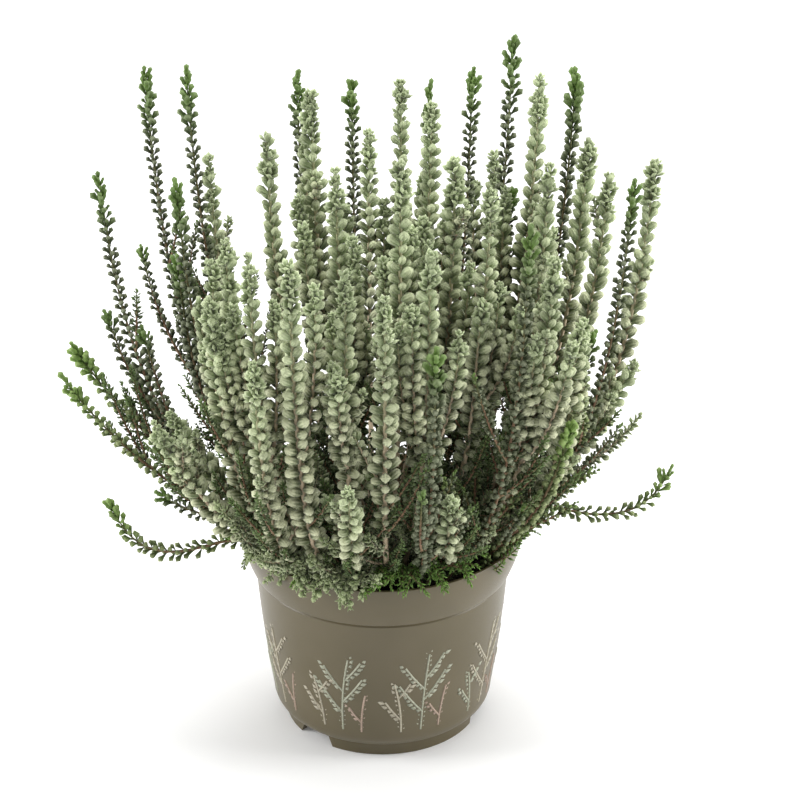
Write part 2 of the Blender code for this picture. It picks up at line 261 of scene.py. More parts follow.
def object_place(tree):
    return put(tree, "ShaderNodeTexCoord").outputs["Object"]


def grain(tree, scale, detail=2.0):
    """Soft noise fixed to the object, with scale spots to the metre."""
    sockets = {"Vector": object_place(tree), "Scale": scale, "Detail": detail, "Roughness": 0.55}
    return put(tree, "ShaderNodeTexNoise", sockets).outputs["Fac"]


def blend(tree, share, first, second):
    """The mix of two colours, each a socket or three numbers."""
    sides = {key: colour if isinstance(colour, bpy.types.NodeSocket) else (*colour, 1)
             for key, colour in (("A", first), ("B", second))}
    return make(tree, "ShaderNodeMix", {"Factor": share, **sides}, data_type="RGBA")


def ramp(tree, value, low, high, to_low=0.0, to_high=1.0):
    sockets = {"Value": value, "From Min": low, "From Max": high, "To Min": to_low, "To Max": to_high}
    return make(tree, "ShaderNodeMapRange", sockets, interpolation_type="SMOOTHSTEP")


def roughen(tree, shader, height, depth, strength):
    bump = put(tree, "ShaderNodeBump", {"Height": height, "Distance": depth, "Strength": strength})
    tree.links.new(bump.outputs["Normal"], shader.inputs["Normal"])

# %% [markdown]
# ### The leaves' skin
# A leaf could be painted leaf by leaf, but all of them follow one rule, so one function
# builds every finish and only the colours differ. It starts from the green skin, lays the
# felt over it, freshens the tip, darkens some buds by luck, and paints shade on the foot
# and on what stands deep in the bush. Sheen, the soft glow of cloth, does what felt does in
# the light.
# %% Build the leaf materials
def leaf_material(name, green, felt, fresh, shade, sheen, fresh_from, roughness=0.8, shade_to=0.36):
    """Green skin under felt, fresher at the stem's tip, with painted shade at its foot and deep in the bush.
    """
    made, tree, shader = new_material(name, roughness, {
        "Sheen Weight": sheen, "Sheen Roughness": 0.40, "Sheen Tint": (1.0, 1.0, 0.86, 1),
        "Specular IOR Level": 0.3})
    wool, streak, along, luck = (attribute(tree, key) for key in ("wool", "streak", "along", "luck"))
    fluff = grain(tree, 1500)
    stripes = calc(tree, "PINGPONG", times(tree, streak, 2), 1)
    lines = calc(tree, "MULTIPLY_ADD", calc(tree, "SUBTRACT", 1, stripes), 0.85, 0.12)
    # felt cover from the wool number, whose rise to each bud's end also paints a highlight there and shade at
    # its foot
    cover = times(tree, wool, lines, 0.62)
    cover = calc(tree, "MULTIPLY_ADD", calc(tree, "POWER", wool, 3), 0.72, cover)
    cover = calc(tree, "MULTIPLY_ADD", calc(tree, "SUBTRACT", fluff, 0.5), 0.6, cover)
    colour = blend(tree, ramp(tree, cover, 0.10, 1.05), green, felt)
    colour = blend(tree, ramp(tree, along, fresh_from, 1.0, 0.0, 0.62), colour, fresh)
    # painted shade: the shade colour darkens the stem towards its foot, up to shade_to of its length
    colour = blend(tree, ramp(tree, along, 0.02, shade_to, 0.78, 0.0), colour, shade)
    colour = blend(tree, ramp(tree, luck, 0.55, 1.0, 0.0, 0.35), colour, shade)
    # painted shade deep in the bush: the shade colour near the plant's upright axis and low down
    place = put(tree, "ShaderNodeSeparateXYZ", {"Vector": object_place(tree)}).outputs
    from_axis = calc(tree, "SQRT", plus(tree, *(times(tree, place[axis], place[axis]) for axis in "XY")))
    inside = ramp(tree, from_axis, 0.026, 0.066, 0.95, 0.0)
    low = ramp(tree, place["Z"], 0.105, 0.190, 1.0, 0.0)
    colour = blend(tree, times(tree, inside, low), colour, shade)
    light = put(tree, "ShaderNodeHueSaturation", {
        "Color": colour, "Value": ramp(tree, grain(tree, 60), 0.3, 0.7, 0.86, 1.12)})
    tree.links.new(light.outputs["Color"], shader.inputs["Base Color"])
    roughen(tree, shader, calc(tree, "MULTIPLY_ADD", stripes, -0.7, fluff), 0.0003, 0.8)
    return made


VELVET_LOOK = dict(
    green=(0.072, 0.092, 0.034), felt=(0.610, 0.630, 0.415), fresh=(0.450, 0.555, 0.300),
    shade=(0.050, 0.075, 0.020), sheen=0.5, fresh_from=0.45)
VELVET = leaf_material("velvet_leaf", **VELVET_LOOK)
# the same velvet, with its painted shade reaching higher up from the stem's foot
SHADED_VELVET = leaf_material("shaded_velvet_leaf", shade_to=0.72, **VELVET_LOOK)
DARK = leaf_material(
    "dark_leaf", green=(0.050, 0.066, 0.026), felt=(0.215, 0.235, 0.150), fresh=(0.130, 0.250, 0.030),
    shade=(0.055, 0.080, 0.028), sheen=0.06, fresh_from=0.84, roughness=0.6)
OLIVE = leaf_material(
    "olive_leaf", green=(0.085, 0.120, 0.036), felt=(0.300, 0.350, 0.160), fresh=(0.190, 0.330, 0.060),
    shade=(0.062, 0.095, 0.028), sheen=0.08, fresh_from=0.70, roughness=0.6)
DEEP = leaf_material(
    "deep_green_leaf", green=(0.034, 0.058, 0.017), felt=(0.125, 0.175, 0.068), fresh=(0.180, 0.280, 0.085),
    shade=(0.030, 0.050, 0.016), sheen=0.06, fresh_from=0.60, roughness=0.6)
NEEDLE = leaf_material(
    "needle_leaf", green=(0.048, 0.095, 0.022), felt=(0.145, 0.240, 0.060), fresh=(0.190, 0.370, 0.050),
    shade=(0.030, 0.060, 0.016), sheen=0.05, fresh_from=0.45, roughness=0.55)
SAGE = leaf_material(
    "sage_leaf", green=(0.062, 0.092, 0.036), felt=(0.500, 0.540, 0.335), fresh=(0.360, 0.450, 0.205),
    shade=(0.052, 0.082, 0.026), sheen=0.30, fresh_from=0.60)
print("leaf finishes:", len(bpy.data.materials) - 1)

# %% [markdown]
# ## Stem bark
# Young heather stems are green at the tip, then reddish, and tan where they are oldest.
# The same "along" number drives that change. A stem is only a few pixels wide, so fine
# noise is enough for its fibres.
# %% Build the bark
def bark_material(name, old, middle, young):
    made, tree, shader = new_material(name, 0.75)
    along = attribute(tree, "along")
    fibres = grain(tree, 900, 3.0)
    dark = tuple(part * 0.35 for part in old)
    colour = blend(tree, ramp(tree, along, 0.05, 0.45), old, middle)
    colour = blend(tree, ramp(tree, along, 0.55, 0.95), colour, young)
    colour = blend(tree, ramp(tree, fibres, 0.35, 0.75, 0.0, 0.4), colour, dark)
    tree.links.new(colour, shader.inputs["Base Color"])
    roughen(tree, shader, fibres, 0.0002, 0.7)
    return made


PALE_BARK = bark_material("pale_bark", (0.600, 0.470, 0.330), (0.540, 0.430, 0.290), (0.420, 0.440, 0.250))
RED_BARK = bark_material("red_bark", (0.300, 0.200, 0.110), (0.220, 0.125, 0.070), (0.110, 0.135, 0.040))
print("barks:", PALE_BARK.name, RED_BARK.name)

# %% [markdown]
# ## Leaf shapes
# A shape that is repeated hundreds of times has to be light, so each one has a few dozen
# faces. A bud is a blunt egg on a thin foot. Its corners carry turn by turn a 1 and a 0
# (the attribute "streak"), from which the material draws the fine lines of the leaves
# pressed together in it. A club is a longer bud with a waist, for the green tips. A tuft
# is a ring of separate small leaves with felt on their edges. All shapes are one unit
# long, stand on the origin and point up.
# %% Draw buds
def keep_shape(name, mesh, smooth=True):
    """An object that is only a pattern to copy, so no collection of the scene holds it."""
    bmesh.ops.recalc_face_normals(mesh, faces=mesh.faces)
    for face in mesh.faces:
        face.smooth = smooth
    return bpy.data.objects.new(name, as_mesh(name, mesh))


def bud(name, sides, rings, depth=0.06):
    """A closed bud. Each ring is (height, radius, wool), and the last one is its end. The wool rising to the
    end is felt, and also a painted highlight on top and painted shade at the foot.
    """
    mesh = bmesh.new()
    wool, streak = (mesh.verts.layers.float.new(key) for key in ("wool", "streak"))
    below = None
    for height, radius, felt in ((0, 0, 0.1),) + rings:
        ring = []
        for i in range(sides if radius else 1):
            angle, r = 2 * math.pi * i / sides, radius * (1 - depth * (i % 2))
            vert = mesh.verts.new((r * math.cos(angle), r * math.sin(angle), height))
            vert[wool], vert[streak] = felt, 1 - i % 2
            ring.append(vert)
        for i in range(sides if below else 0):
            j = (i + 1) % sides
            loop = (below[i % len(below)], below[j % len(below)], ring[j % len(ring)], ring[i % len(ring)])
            mesh.faces.new(list(dict.fromkeys(loop)))
        below = ring
    return keep_shape(name, mesh)

# %% [markdown]
# ### Single leaves and tufts
# A flat leaf would be lighter still, but it vanishes when seen from its edge and has no
# inside. So a leaf is a closed, slender double pyramid, a point at each end.
# %% Draw single leaves and tufts
def add_leaf(mesh, turn, lean, length=1.0, width=0.3, thickness=0.2, foot=0.0, belly=0.6):
    """One closed leaf of eight faces, with felt on its two edges and at its end, where the wool is also a
    painted highlight, and little wool at its foot as painted shade.
    """
    layers = mesh.verts.layers.float
    wool, streak = (layers.get(key) or layers.new(key) for key in ("wool", "streak"))
    out = Vector((math.cos(turn), math.sin(turn), 0))
    across = Vector((-math.sin(turn), math.cos(turn), 0))
    course = out * math.sin(lean) + Vector((0, 0, math.cos(lean)))
    rise = out * math.cos(lean) - Vector((0, 0, math.sin(lean)))
    start = Vector((0, 0, foot))
    middle = start + course * (length * belly)
    places = [(start, 0.15), (start + course * length, 1.0)]
    for side, back, felt in ((1, 0, 0.95), (0, 1, 0.2), (-1, 0, 0.95), (0, -1, 0.2)):
        places.append((middle + across * (side * width / 2) + rise * (back * thickness / 2), felt))
    foot_vert, end, *ring = (mesh.verts.new(place) for place, _ in places)
    for vert, (_, felt) in zip((foot_vert, end, *ring), places):
        vert[wool], vert[streak] = felt, 0
    for a, b in zip(ring, ring[1:] + ring[:1]):
        mesh.faces.new((foot_vert, b, a))
        mesh.faces.new((end, a, b))


def tuft(name, outer, lean, width, thickness, inner=0, belly=0.6):
    """A ring of leaning leaves round a few that stand nearly upright."""
    mesh = bmesh.new()
    for i in range(outer):
        add_leaf(mesh, 2 * math.pi * i / outer, lean, 0.92 + 0.08 * (i % 2), width, thickness, belly=belly)
    for i in range(inner):
        turn = 2 * math.pi * (i + 0.5) / inner
        add_leaf(mesh, turn, lean * 0.35, 0.9, width, thickness, foot=0.1, belly=belly)
    return keep_shape(name, mesh)

# %% [markdown]
# ### Sets of shapes
# Instance on Points picks from a collection by number, and the numbers follow the names.
# So each set is a collection whose shapes are named from the most closed to the most open.
# %% Collect the shapes in sets
def shape_set(name, members):
    """A collection of shapes that a tree picks from, in the order of their names."""
    made = bpy.data.collections.new(name)
    for member in members:
        made.objects.link(member)
    print(name, [len(member.data.polygons) for member in members], "faces")
    return made


# The third number of each ring is its wool: felt, and its rise from foot to end also paints a highlight on
# the bud's top and shade at its foot.
CLOSED = ((0.28, 0.20, 0.35), (0.62, 0.31, 0.66), (0.91, 0.23, 1.0), (1.0, 0, 1.0))
HALF_OPEN = ((0.30, 0.20, 0.35), (0.66, 0.32, 0.70), (0.95, 0.26, 1.0), (0.93, 0, 0.8))
SMALL = ((0.45, 0.13, 0.25), (0.78, 0.28, 0.75), (1.0, 0, 1.0))
CLUB = ((0.28, 0.16, 0.35), (0.50, 0.25, 0.80), (0.62, 0.18, 0.30), (0.86, 0.23, 0.85), (1.0, 0, 1.0))

VELVET_SET = shape_set("velvet_shapes", [
    bud("velvet_0_closed", 8, CLOSED, depth=0.08), bud("velvet_1_half_open", 8, HALF_OPEN, depth=0.22),
    tuft("velvet_2_tuft", 5, 0.70, 0.54, 0.26, inner=1, belly=0.70)])
DARK_SET = shape_set("dark_shapes", [
    bud("dark_0_bud", 6, SMALL), bud("dark_1_bud", 7, SMALL), bud("dark_2_club", 5, CLUB, depth=0.16)])
NEEDLE_SET = shape_set("needle_shapes", [
    tuft("needle_0_single", 1, 0.0, 0.30, 0.22, belly=0.4),
    tuft("needle_1_bent", 1, 0.2, 0.30, 0.20, belly=0.5), tuft("needle_2_double", 2, 0.35, 0.28, 0.18)])
SAGE_SET = shape_set("sage_shapes", [
    tuft("sage_0_pair", 2, 0.35, 0.46, 0.24), tuft("sage_1_fan", 3, 0.60, 0.42, 0.22),
    bud("sage_2_bud", 6, CLOSED[1:])])

# %% [markdown]
# ## A tree that clothes a stem in leaf pairs
# Heather sets its leaves in opposite pairs, and each pair is turned a quarter from the
# one below it. That rule is a job for Geometry Nodes: every point on the line takes its
# pair number from its index, from which follow its height on the stem, its turn and its
# size. Curves inside the tree say how the leaves' length, width and lean change from
# foot to tip, and the named inputs set the scale of it all.
# %% Build blocks that several trees share
def new_tree(name, inputs):
    """A tree with one mesh in, one mesh out, and inputs named with a number or a kind of data."""
    tree = bpy.data.node_groups.new(name, "GeometryNodeTree")
    tree.interface.new_socket("Geometry", in_out="INPUT", socket_type="NodeSocketGeometry")
    for label, value in inputs.items():
        kind = value if isinstance(value, str) else {int: "Int", float: "Float"}[type(value)]
        socket = tree.interface.new_socket(label, in_out="INPUT", socket_type="NodeSocket" + kind)
        if kind != value:
            socket.default_value = value
    tree.interface.new_socket("Geometry", in_out="OUTPUT", socket_type="NodeSocketGeometry")
    return tree, put(tree, "NodeGroupInput").outputs, put(tree, "NodeGroupOutput")


def random_number(tree, low, high, index, seed, extra):
    sockets = {"Min": low, "Max": high, "ID": index, "Seed": plus(tree, seed, extra)}
    return make(tree, "FunctionNodeRandomValue", sockets, data_type="FLOAT")


def turn_by(tree, rotation, x=0.0, y=0.0, z=0.0):
    angles = make(tree, "ShaderNodeCombineXYZ", {"X": x, "Y": y, "Z": z})
    by = make(tree, "FunctionNodeEulerToRotation", {"Euler": angles})
    sockets = {"Rotation": rotation, "Rotate By": by}
    return make(tree, "FunctionNodeRotateRotation", sockets, rotation_space="LOCAL")


def copies(tree, points, shape, rotation, size, picks=None):
    """A shape on every point, made real because the export drops instances."""
    placed = make(tree, "GeometryNodeInstanceOnPoints", {
        "Points": points, "Instance": shape, "Rotation": rotation, "Scale": size, **(picks or {})})
    return make(tree, "GeometryNodeRealizeInstances", {"Geometry": placed})


def tube(tree, line, radius):
    around = make(tree, "GeometryNodeCurvePrimitiveCircle", {"Resolution": 6, "Radius": 1.0})
    return make(tree, "GeometryNodeCurveToMesh", {
        "Curve": line, "Profile Curve": around, "Scale": radius, "Fill Caps": True})


def painted(tree, geometry, material):
    return make(tree, "GeometryNodeSetMaterial", {"Geometry": geometry, "Material": material})


def joined(tree, *parts):
    both = put(tree, "GeometryNodeJoinGeometry")
    for part in parts:
        tree.links.new(part, both.inputs[0])
    return both.outputs[0]

# %% [markdown]
# ### The tree itself
# Loose points are laid along the line by number, not spread by chance, because the pairs
# have to cross. Chance only loosens them a little, with a seed that is one of the inputs.
# %% Build the leafy stem tree
STEM_INPUTS = {
    "Pairs": 40, "Crowding": 0.85, "Bare Share": 0.1, "Leaf Length": 0.004, "Leaf Width": 0.004, "Lean": 0.8,
    "Turn": 0.8, "Wildness": 0.15, "Openness": 0.0, "Stem Radius": 0.001, "Stem Rings": 30, "Seed": 1,
    "Leaf Shapes": "Collection", "Leaf Finish": "Material", "Stem Finish": "Material"}
STEM_TAPER = ((0, 1), (0.5, 0.72), (0.9, 0.45), (1, 0.25))


def store(tree, geometry, name, value):
    sockets = {"Geometry": geometry, "Name": name, "Value": value}
    return make(tree, "GeometryNodeStoreNamedAttribute", sockets, data_type="FLOAT", domain="POINT")


def leafy_stem_tree(name, length_curve, width_curve, lean_curve, shape_curve):
    """A tree that turns a line into a stem with leaves in crossed pairs."""
    tree, given, out = new_tree(name, STEM_INPUTS)
    pairs, bare, wildness = (given[label] for label in ("Pairs", "Bare Share", "Wildness"))
    line = make(tree, "GeometryNodeMeshToCurve", {"Mesh": given["Geometry"]})
    points = make(tree, "GeometryNodePoints", {"Count": times(tree, pairs, 2)})
    index = make(tree, "GeometryNodeInputIndex")

    def chance(low, high, extra):
        return random_number(tree, low, high, index, given["Seed"], extra)

    # where each leaf goes
    pair = calc(tree, "FLOOR", calc(tree, "DIVIDE", index, 2))
    side = calc(tree, "MODULO", index, 2)
    share = calc(tree, "DIVIDE", pair, calc(tree, "SUBTRACT", pairs, 1))
    share = calc(tree, "POWER", share, given["Crowding"])
    loose = times(tree, chance(-0.5, 0.5, 11), wildness)
    share = plus(tree, share, calc(tree, "DIVIDE", loose, pairs))
    along = plus(tree, bare, times(tree, share, calc(tree, "SUBTRACT", 1, bare)))
    read = put(tree, "GeometryNodeSampleCurve", {"Curves": line, "Factor": along}, mode="FACTOR").outputs
    points = make(tree, "GeometryNodeSetPosition", {"Geometry": points, "Position": read["Position"]})
    points = store(tree, points, "along", along)
    points = store(tree, points, "luck", chance(0.0, 1.0, 23))
    # how it is turned: up the stem, round it, then out from it
    upward = make(tree, "FunctionNodeAlignRotationToVector", {"Vector": read["Tangent"]}, axis="Z")
    turn = calc(tree, "MULTIPLY_ADD", pair, math.pi / 2, given["Turn"])
    turn = plus(tree, turn, times(tree, side, math.pi), times(tree, chance(-1.6, 1.6, 37), wildness))
    lean = times(tree, curve_value(tree, share, lean_curve), given["Lean"])
    lean = plus(tree, lean, times(tree, chance(-0.8, 0.8, 41), wildness))
    rotation = turn_by(tree, turn_by(tree, upward, z=turn), x=lean)
    # how large it is
    opened = curve_value(tree, share, shape_curve)
    spread = calc(tree, "MULTIPLY_ADD", opened, 0.45, 0.30)
    luck = calc(tree, "MULTIPLY_ADD", chance(-0.5, 0.5, 53), spread, 1)
    long = times(tree, curve_value(tree, share, length_curve), given["Leaf Length"], luck)
    wide = times(tree, curve_value(tree, share, width_curve), given["Leaf Width"], luck)
    size = make(tree, "ShaderNodeCombineXYZ", {"X": wide, "Y": wide, "Z": long})
    # which shape it takes
    which = plus(tree, times(tree, opened, 2), given["Openness"], chance(-0.7, 0.7, 67))
    which = calc(tree, "MINIMUM", calc(tree, "MAXIMUM", calc(tree, "ROUND", which), 0), 2)
    leaves = make(tree, "GeometryNodeCollectionInfo", {
        "Collection": given["Leaf Shapes"], "Separate Children": True, "Reset Children": True})
    leaves = copies(tree, points, leaves, rotation, size, {"Pick Instance": True, "Instance Index": which})
    # the stem itself, thinner towards its tip
    stem = make(tree, "GeometryNodeResampleCurve", {"Curve": line, "Count": given["Stem Rings"]})
    height = make(tree, "GeometryNodeSplineParameter")
    stem = store(tree, stem, "along", height)
    stem = tube(tree, stem, times(tree, curve_value(tree, height, STEM_TAPER), given["Stem Radius"]))
    stem, leaves = painted(tree, stem, given["Stem Finish"]), painted(tree, leaves, given["Leaf Finish"])
    tree.links.new(joined(tree, stem, leaves), out.inputs[0])
    return tree

# %% [markdown]
# ### Three kinds of stem
# One tree with more inputs could do for all, but a curve can't be an input. So the same
# function builds a tree for silver stems, one for green stems and one for side shoots.
# %% Set the curves of three kinds of stem
SILVER_TREE = leafy_stem_tree(
    "silver_stem",
    length_curve=((0, 0.55), (0.10, 0.85), (0.35, 1), (0.60, 0.94), (0.80, 0.76), (0.94, 0.62), (1, 0.52)),
    width_curve=((0, 0.60), (0.10, 0.85), (0.35, 1), (0.60, 0.94), (0.80, 0.78), (0.94, 0.70), (1, 0.55)),
    lean_curve=((0, 0.95), (0.5, 0.86), (0.8, 0.76), (0.94, 0.62), (1, 0.25)),
    shape_curve=((0, 0.75), (0.12, 0.30), (0.25, 0.02), (0.65, 0.04), (0.84, 0.35), (0.94, 1), (1, 1)))
GREEN_TREE = leafy_stem_tree(
    "green_stem",
    length_curve=((0, 0.60), (0.25, 0.80), (0.6, 0.80), (0.85, 0.82), (0.93, 0.98), (1, 0.92)),
    width_curve=((0, 0.55), (0.25, 0.82), (0.6, 0.84), (0.85, 0.78), (0.93, 0.84), (1, 0.75)),
    lean_curve=((0, 0.9), (0.5, 1), (0.85, 0.95), (0.95, 0.75), (1, 0.20)),
    shape_curve=((0, 1), (0.12, 0.85), (0.25, 0.20), (0.75, 0.12), (0.88, 0.35), (0.93, 1), (1, 1)))
SHOOT_TREE = leafy_stem_tree(
    "side_shoot",
    length_curve=((0, 0.8), (0.3, 1), (0.75, 0.95), (1, 0.6)),
    width_curve=((0, 0.8), (0.3, 1), (0.75, 0.95), (1, 0.6)),
    lean_curve=((0, 1), (0.7, 0.95), (0.93, 0.6), (1, 0.1)),
    shape_curve=((0, 0.5), (0.5, 0.5), (1, 0.6)))
print("nodes in one tree:", len(SILVER_TREE.nodes))

# %% [markdown]
# ## From a line to a finished mesh
# A modifier's inputs are set by the socket's own identifier before the tree first runs.
# The result is then copied into a plain mesh and the modifier goes, because what is
# handed on has to be ordinary triangles.
# %% Grow a leafy stem
def run_tree(name, base, tree, values):
    """A plain mesh made by a tree from a base mesh."""
    holder = new_object(name, base)
    modifier = holder.modifiers.new("tree", "NODES")
    modifier.node_group = tree
    named = {item.name: item.identifier for item in tree.interface.items_tree if item.in_out == "INPUT"}
    for label, value in values.items():
        modifier[named[label]] = value
    graph = bpy.context.evaluated_depsgraph_get()
    made = bpy.data.meshes.new_from_object(
        holder.evaluated_get(graph), preserve_all_data_layers=True, depsgraph=graph)
    bpy.data.objects.remove(holder)
    bpy.data.meshes.remove(base)
    return made


def line_mesh(lines):
    """A mesh of nothing but lines, each a list of points."""
    mesh = bpy.data.meshes.new("lines")
    spots, edges = [], []
    for line in lines:
        edges += [(len(spots) + i, len(spots) + i + 1) for i in range(len(line) - 1)]
        spots += [tuple(point) for point in line]
    mesh.from_pydata(spots, edges, [])
    return mesh


def grow(name, points, tree, **values):
    """A leafy stem along a line, with the tree's inputs given as leaf_length for Leaf Length."""
    values = {key.replace("_", " ").title(): value for key, value in values.items()}
    made = run_tree(name, line_mesh([points]), tree, values)
    made.name = name
    return made


def add_piece(name, mesh, slot, *nodes):
    """A finished piece of the plant: it rides on the one body and stands for its plain solids."""
    piece = new_object(name, mesh)
    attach(piece, "root")
    if nodes:
        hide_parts(*nodes)


def length_of(points):
    return float(np.linalg.norm(np.diff(np.array(points), axis=0), axis=1).sum())


def triangles(mesh):
    mesh.calc_loop_triangles()
    return len(mesh.loop_triangles)

# %% [markdown]
# ## The silver stems
# These make the plant: columns of woolly buds, thickest in their middle and finer towards
# a fresh green tip. One bumpy tube would be lighter, but no light would fall between the
# buds, so each bud is a shape of its own. Every stem gets its own seed and a slightly
# different size, because equal stems would look stamped. Stems that stand further right
# get less light: they lose more leaves at the foot, as the shortest do, and their velvet
# has painted shade reaching higher up from the foot.
# %% Grow the silver stems
SILVER_ROW = 0.0027
SHADED_FROM, SHORT_FROM, SHORT_STEM = -0.014, -0.030, 0.090
rng = random.Random(7)


def dress_stems(kind, ending, tree, slot, look):
    """Leaves for each plain stem of a kind; look gives a stem's own numbers from its line."""
    total = 0
    for number, name in enumerate(n for n in LINES if n.startswith("spray_" + kind)):
        mesh = grow(name + ending, LINES[name], tree, **look(LINES[name], number))
        total += triangles(mesh)
        add_piece(name + ending, mesh, slot, name)
    print(kind, "stems:", total, "triangles")


def silver_look(line, number):
    scale = rng.uniform(0.92, 1.08)
    foot, length = line[0][0], length_of(line)
    # a stem further right gets a barer foot and the velvet with painted shade reaching higher
    shaded = foot > SHADED_FROM
    if foot > SHORT_FROM and length < SHORT_STEM:
        bare = rng.uniform(0.44, 0.48)
    else:
        bare = rng.uniform(0.10, 0.18) + (0.20 if shaded else 0.03)
    return dict(
        pairs=round(length * (1 - bare) / SILVER_ROW), crowding=0.88, bare_share=bare,
        leaf_length=0.0075 * scale, leaf_width=0.0064 * scale, lean=0.96, turn=rng.uniform(0.35, 0.80),
        wildness=0.22, openness=rng.uniform(-0.2, 0.3), stem_radius=0.0013, stem_rings=36, seed=100 + number,
        leaf_shapes=VELVET_SET, leaf_finish=SHADED_VELVET if shaded else VELVET, stem_finish=PALE_BARK)


dress_stems("silver", "_buds", SILVER_TREE, "silver_leaves", silver_look)

# %% [markdown]
# ## The green stems
# Between the silver ones stand thinner stems without felt. Their buds are small, dark and
# set apart, so the reddish stem shows between them, and their tips end in fresh clubs. The
# same rule of turned pairs makes them, with other shapes and curves.
# %% Grow the green stems
GREEN_ROW = 0.00195
LOW_TIP, MIDDLE_TIP = 0.13, 0.18


def green_look(line, number):
    """Low stems have larger leaves, and only the tall ones are dark."""
    tip, scale = line[-1][2], rng.uniform(0.92, 1.1)
    return dict(
        pairs=round(length_of(line) * 0.9 / GREEN_ROW), crowding=0.88, bare_share=rng.uniform(0.08, 0.14),
        leaf_length=(0.0070 if tip < LOW_TIP else 0.0058) * scale, leaf_width=0.0056 * scale, lean=0.72,
        wildness=0.24, openness=rng.uniform(-0.3, 0.2), stem_radius=0.0008, stem_rings=36, seed=300 + number,
        turn=rng.uniform(0, 1.5), leaf_shapes=DARK_SET, leaf_finish=OLIVE if tip < MIDDLE_TIP else DARK,
        stem_finish=RED_BARK)


dress_stems("green", "_buds", GREEN_TREE, "green_leaves", green_look)

# %% [markdown]
# ## Low shoots
# Short needle-leaved shoots lean over the rim. They are fresh green and end in soft tips.
# Nothing but the numbers sets them apart from the stems, so the same function grows them.
# %% Grow the low shoots
LOW_ROW = 0.0013


def low_look(line, number):
    return dict(
        pairs=round(length_of(line) / LOW_ROW), crowding=0.95, bare_share=0.15, leaf_length=0.0037,
        leaf_width=0.0036, lean=0.90, wildness=0.25, openness=-0.4, stem_radius=0.0007, stem_rings=16,
        seed=500 + number, leaf_shapes=NEEDLE_SET, leaf_finish=NEEDLE, stem_finish=RED_BARK)


dress_stems("low", "_leaves", SHOOT_TREE, "needle_leaves", low_look)

# %% [markdown]
# ## Side shoots
# A real heather is bushier than its main stems: short shoots leave them low down and fill
# the middle with grey-green leaves. A shoot is a short curve that leaves the stem sideways
# and bends up towards the light. All shoots of one kind are joined into one piece, so that
# some five hundred of them stay a handful of objects.
# %% Draw side shoots
def side_line(start, direction, length, lift, points=9):
    """A short curve from a point, bending up by lift."""
    made = []
    for i in range(points):
        share = i / (points - 1)
        made.append(start + direction * (length * share) + Vector((0, 0, lift * length * share * share)))
    return made


def shoots_from(names, shares, lengths, lean, lift, count, seed):
    """Side shoot curves that leave the named stems between two shares of their length."""
    draw = random.Random(seed)
    made = []
    for _ in range(count):
        line = LINES[draw.choice(names)]
        place = draw.uniform(*shares) * (len(line) - 2)
        i = int(place)
        start = Vector(line[i]).lerp(Vector(line[i + 1]), place - i)
        up = (Vector(line[i + 1]) - Vector(line[i])).normalized()
        outward = Vector((start.x, start.y, 0)).normalized()
        side = outward.cross(Vector((0, 0, 1)))
        turn = draw.uniform(-math.pi, math.pi)
        across = outward * math.cos(turn) + side * math.sin(turn)
        direction = (up * math.cos(lean) + across * math.sin(lean)).normalized()
        made.append(side_line(start, direction, draw.uniform(*lengths), draw.uniform(*lift)))
    return made


def branches_from(names, count, shares, reach, apart, seed, lowest=0.0):
    """Side branches that leave a stem above a lowest height and then rise beside it."""
    draw = random.Random(seed)
    made = []
    while len(made) < count:
        line = [Vector(point) for point in LINES[draw.choice(names)]]
        first = draw.uniform(*shares)
        last = first + draw.uniform(*reach)
        turn = draw.uniform(-math.pi, math.pi)
        across = Vector((math.cos(turn), math.sin(turn), 0)) * draw.uniform(*apart)
        points = []
        for t in (i / 15 for i in range(16)):
            place = (first + (last - first) * t) * (len(line) - 1)
            base = line[int(place)].lerp(line[min(int(place) + 1, len(line) - 1)], place % 1)
            points.append(base + across * (t * (2 - t)) ** 0.8)
        if points[0].z > lowest:
            made.append(points)
    return made

# %% [markdown]
# ### Kinds of shoot
# What tells one kind from another is its shapes, its finish and a few lengths, so each
# kind is one row of a table. A piece is grown shoot by shoot and then joined.
# %% Name the kinds of shoot
KINDS = {
    # leaf shapes, leaf finish, bark, leaf length, leaf width, row, lean, openness, slot
    "velvet": (VELVET_SET, VELVET, PALE_BARK, 0.0042, 0.0040, 0.0021, 0.90, -0.6, "silver_leaves"),
    "sprig": (SAGE_SET, VELVET, PALE_BARK, 0.0036, 0.0040, 0.0016, 0.80, 0.3, "silver_leaves"),
    "sage": (SAGE_SET, SAGE, PALE_BARK, 0.0038, 0.0038, 0.0019, 0.95, 0.0, "silver_leaves"),
    "needle": (NEEDLE_SET, NEEDLE, RED_BARK, 0.0036, 0.0038, 0.0016, 0.95, -0.5, "needle_leaves"),
    "shade": (NEEDLE_SET, DEEP, RED_BARK, 0.0031, 0.0042, 0.0014, 0.80, 0.3, "green_leaves"),
    "olive": (DARK_SET, OLIVE, RED_BARK, 0.0034, 0.0034, 0.0019, 0.80, 0.3, "green_leaves"),
    "dark": (DARK_SET, DARK, RED_BARK, 0.0034, 0.0030, 0.0017, 0.85, 0.6, "green_leaves"),
}
print("kinds of shoot:", *KINDS)


def add_joined(name, meshes, slot):
    """One piece from many meshes that have the same materials in the same order."""
    target, *others = (new_object(name, mesh) for mesh in meshes)
    parts = [target] + others
    with bpy.context.temp_override(active_object=target, object=target, selected_editable_objects=parts):
        bpy.ops.object.join()
    mesh = target.data
    bpy.data.objects.remove(target)
    mesh.name = name
    add_piece(name, mesh, slot)
    print(name, "of", len(meshes), "parts,", triangles(mesh), "triangles")


